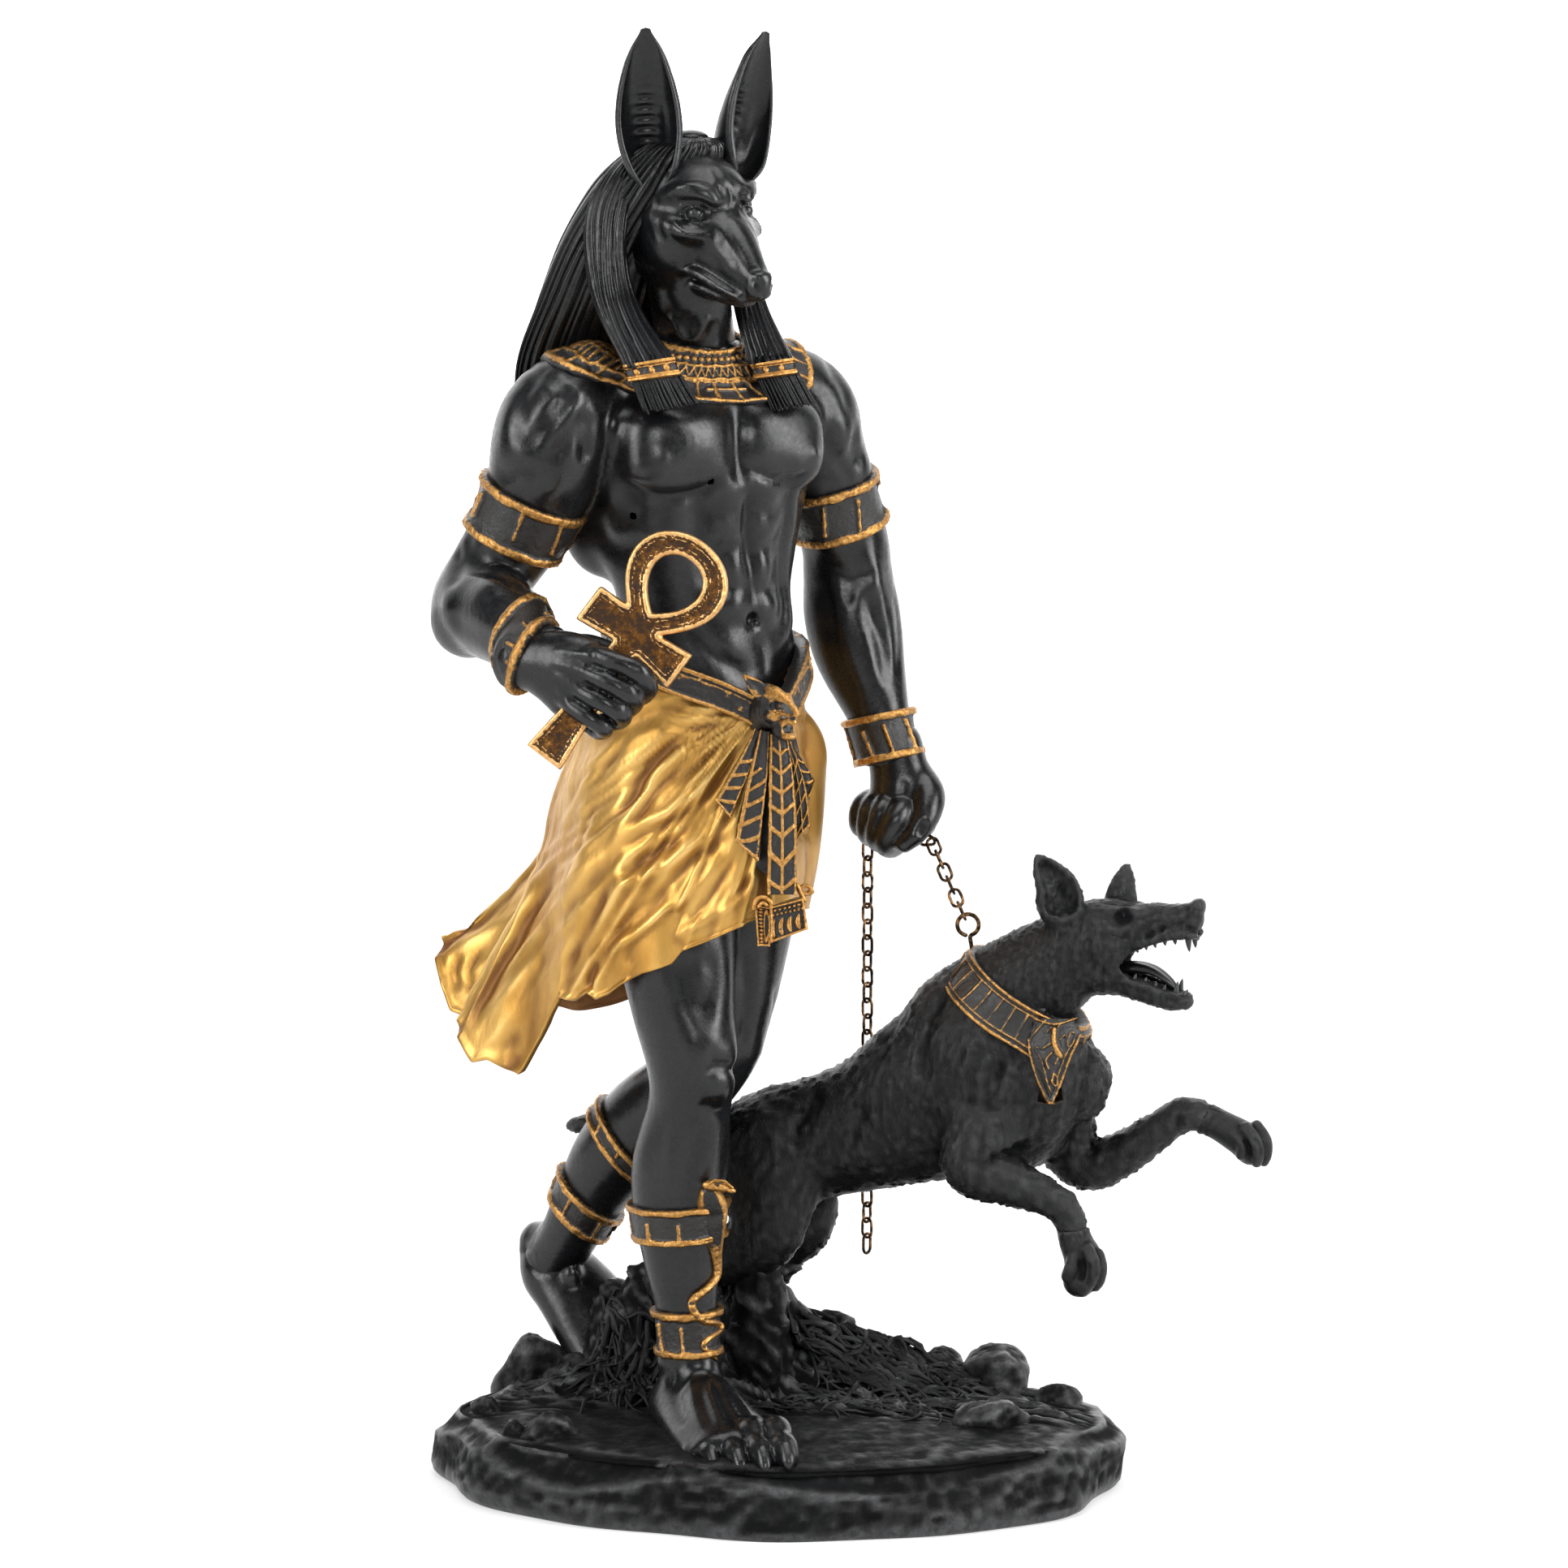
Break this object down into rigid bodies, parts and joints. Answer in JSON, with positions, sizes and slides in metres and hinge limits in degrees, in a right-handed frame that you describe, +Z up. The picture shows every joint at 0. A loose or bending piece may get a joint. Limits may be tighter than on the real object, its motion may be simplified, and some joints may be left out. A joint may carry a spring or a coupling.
{
  "type": "jackal-headed standing figure",
  "caption": "Cast figurine of a striding jackal-headed figure in a gilt kilt, holding a looped cross and a chained leaping hound, on rough oval ground.",
  "frame": {"origin": "centre of the ground's flat underside", "axes": "+Z up, -Y towards the viewer of the picture, +X to the viewer's right, where the hound leaps"},
  "size_m": [0.1627, 0.0983, 0.2801],
  "materials": {
    "black_resin": "black satin paint over cast resin, greyed on the high spots",
    "gold_paint": "rich gold paint with brown shading in the folds",
    "antique_gold_trim": "antique gold brushed over black on raised borders",
    "bronze_ankh": "dark mottled bronze paint with gold border lines",
    "ground_resin": "dull black stone texture with greyed edges",
    "bronzed_wire": "blackened bronze wire, brassy where rubbed"
  },
  "bodies": {
    "root": {"chain_link_01": "bronzed_wire", "chain_link_02": "bronzed_wire", "chain_link_03": "bronzed_wire", "chain_link_04": "bronzed_wire", "chain_link_05": "bronzed_wire", "chain_link_06": "bronzed_wire", "chain_link_07": "bronzed_wire", "chain_link_08": "bronzed_wire", "chain_link_09": "bronzed_wire", "chain_link_10": "bronzed_wire", "chain_link_11": "bronzed_wire", "chain_link_12": "bronzed_wire", "chain_link_13": "bronzed_wire", "chain_link_14": "bronzed_wire", "chain_link_15": "bronzed_wire", "chain_link_16": "bronzed_wire", "chain_link_17": "bronzed_wire", "chain_link_18": "bronzed_wire", "chain_link_19": "bronzed_wire", "chain_link_20": "bronzed_wire", "chain_link_21": "bronzed_wire", "chain_link_22": "bronzed_wire", "chain_link_23": "bronzed_wire", "chain_link_24": "bronzed_wire", "chain_link_25": "bronzed_wire", "chain_link_26": "bronzed_wire", "chain_link_27": "bronzed_wire", "chain_link_28": "bronzed_wire", "chain_link_29": "bronzed_wire", "chain_link_30": "bronzed_wire", "chain_link_31": "bronzed_wire", "chain_link_32": "bronzed_wire", "chain_link_33": "bronzed_wire", "chain_link_34": "bronzed_wire", "chain_link_35": "bronzed_wire", "chain_link_36": "bronzed_wire", "chain_link_37": "bronzed_wire", "collar_eye_screw": "bronzed_wire", "statue": "black_resin"}
  },
  "joints": []
}
